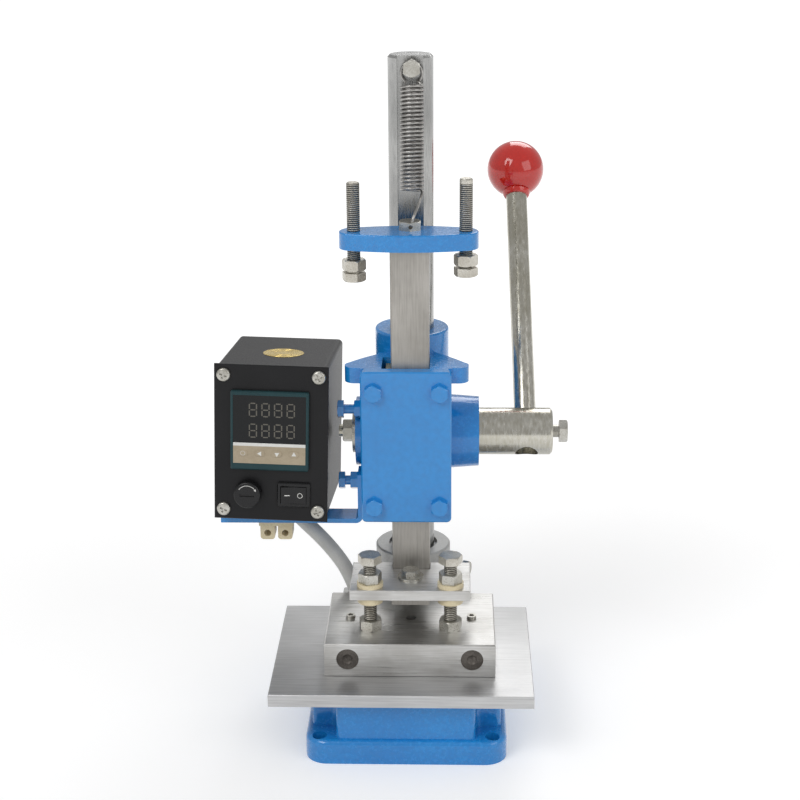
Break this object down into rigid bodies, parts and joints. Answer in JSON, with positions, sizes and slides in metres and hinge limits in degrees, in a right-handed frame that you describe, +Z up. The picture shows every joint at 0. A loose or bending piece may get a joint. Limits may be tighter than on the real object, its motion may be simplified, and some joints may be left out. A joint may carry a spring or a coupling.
{
  "type": "hot foil stamper",
  "caption": "Bench hot foil stamper: cast base and table, round column, rack head worked by a ball-ended lever, heated block, spring return and a temperature control box.",
  "frame": {"origin": "on the underside of the base, in the plane of the column and the ram, midway front to back", "axes": "+X to the lever side, +Y to the back, +Z up the column"},
  "size_m": [0.2223, 0.2401, 0.4188],
  "materials": {
    "blue_enamel": "glossy enamel over a cast skin",
    "grey_socket": "matte turned casting",
    "bright_plate": "brushed",
    "turned_steel": "turned and ground",
    "bronze_bush": "machined",
    "zinc_bolt": "zinc plated",
    "spring_steel": "drawn wire",
    "black_shell": "satin powder coat",
    "black_plastic": "moulded",
    "switch_black": "moulded",
    "teal_plastic": "fine texture",
    "window_plastic": "smoked",
    "key_tan": "soft keys",
    "cream_plastic": "moulded",
    "grey_rubber": "soft",
    "cable_sleeve": "woven glass sleeve",
    "lead_cover_metal": "plain",
    "heater_metal": "heat darkened",
    "fuse_glass": "clear tube",
    "red_ball": "polished"
  },
  "bodies": {
    "frame_body": {"base_casting": "blue_enamel", "box_bracket": "blue_enamel", "box_front_panel": "black_shell", "box_shell": "black_shell", "cable_grommet": "grey_rubber", "column": "turned_steel", "column_socket": "grey_socket", "controller_bezel": "teal_plastic", "controller_case": "teal_plastic", "cover_bolts": "blue_enamel", "display_window": "window_plastic", "front_cover": "blue_enamel", "fuse_holder": "black_plastic", "gib_bolts": "blue_enamel", "head_casting": "blue_enamel", "head_clamp_bolts": "blue_enamel", "heater_cable": "cable_sleeve", "panel_screws": "zinc_bolt", "pinion_bush_left": "bronze_bush", "pinion_bush_right": "bronze_bush", "power_inlet": "black_plastic", "ram_gib": "bronze_bush", "return_spring": "spring_steel", "socket_lock_bolt": "zinc_bolt", "spring_anchor_bolt": "zinc_bolt", "switch_body": "black_plastic", "terminal_strip": "cream_plastic", "worktable": "bright_plate", "worktable_screws": "zinc_bolt"},
    "ram_body": {"ram": "turned_steel", "stop_plate": "blue_enamel", "stop_plate_bolt": "zinc_bolt", "ram_end_plate": "turned_steel", "ram_plate_washer": "zinc_bolt", "ram_plate_bolt": "zinc_bolt", "insulating_bushes": "cream_plastic", "levelling_bolts": "zinc_bolt", "levelling_nuts": "zinc_bolt", "heater_block": "bright_plate", "cartridge_heaters": "heater_metal", "heater_set_screws": "zinc_bolt", "lead_cover": "lead_cover_metal"},
    "lever_body": {"pinion_shaft": "turned_steel", "pinion_washer": "zinc_bolt", "pinion_nut": "zinc_bolt", "lever_rod": "turned_steel", "ball_knob": "red_ball", "lever_lock_bolt": "zinc_bolt"},
    "rocker_body": {"switch_rocker": "switch_black"},
    "key_set_body": {"key_set": "key_tan"},
    "key_shift_body": {"key_shift": "key_tan"},
    "key_down_body": {"key_down": "key_tan"},
    "key_up_body": {"key_up": "key_tan"},
    "fuse_cap_body": {"fuse_cap": "black_plastic", "fuse_link": "fuse_glass"},
    "stop_left_body": {"stop_bolt_left": "zinc_bolt"},
    "stop_right_body": {"stop_bolt_right": "zinc_bolt"}
  },
  "joints": [
    {"name": "ram_slide", "type": "slide", "parent": "frame_body", "child": "ram_body", "axis": [0, 0, 1], "range_m": [0, 0.012], "stiffness_N_per_m": 900, "springref_m": 0.012, "deforming": ["return_spring", "heater_cable"]},
    {"name": "lever_turn", "type": "hinge", "parent": "frame_body", "child": "lever_body", "pos_m": [0, 0.02325, 0.1834], "axis": [1, 0, 0], "range_deg": [-77, 0]},
    {"name": "switch_rock", "type": "hinge", "parent": "frame_body", "child": "rocker_body", "pos_m": [-0.07273, -0.01794, 0.15558], "axis": [0.0259, 0.0915, 0.9955], "range_deg": [-8, 0]},
    {"name": "key_set_press", "type": "slide", "parent": "frame_body", "child": "key_set_body", "axis": [0.0348, 0.9951, -0.0924], "range_m": [0, 0.0003], "stiffness_N_per_m": 400},
    {"name": "key_shift_press", "type": "slide", "parent": "frame_body", "child": "key_shift_body", "axis": [0.0348, 0.9951, -0.0924], "range_m": [0, 0.0003], "stiffness_N_per_m": 400},
    {"name": "key_down_press", "type": "slide", "parent": "frame_body", "child": "key_down_body", "axis": [0.0348, 0.9951, -0.0924], "range_m": [0, 0.0003], "stiffness_N_per_m": 400},
    {"name": "key_up_press", "type": "slide", "parent": "frame_body", "child": "key_up_body", "axis": [0.0348, 0.9951, -0.0924], "range_m": [0, 0.0003], "stiffness_N_per_m": 400},
    {"name": "fuse_cap_turn", "type": "hinge", "parent": "frame_body", "child": "fuse_cap_body", "pos_m": [-0.10117, -0.01867, 0.15649], "axis": [0.0348, 0.9951, -0.0924], "range_deg": [0, 90]},
    {"name": "stop_left_adjust", "type": "slide", "parent": "ram_body", "child": "stop_left_body", "axis": [0, 0, 1], "range_m": [-0.015, 0.006]},
    {"name": "stop_right_adjust", "type": "slide", "parent": "ram_body", "child": "stop_right_body", "axis": [0, 0, 1], "range_m": [-0.015, 0.003]}
  ],
  "couplings": [
    {"joint": "lever_turn", "follows": "ram_slide", "rad_per_m": -111.11}
  ]
}
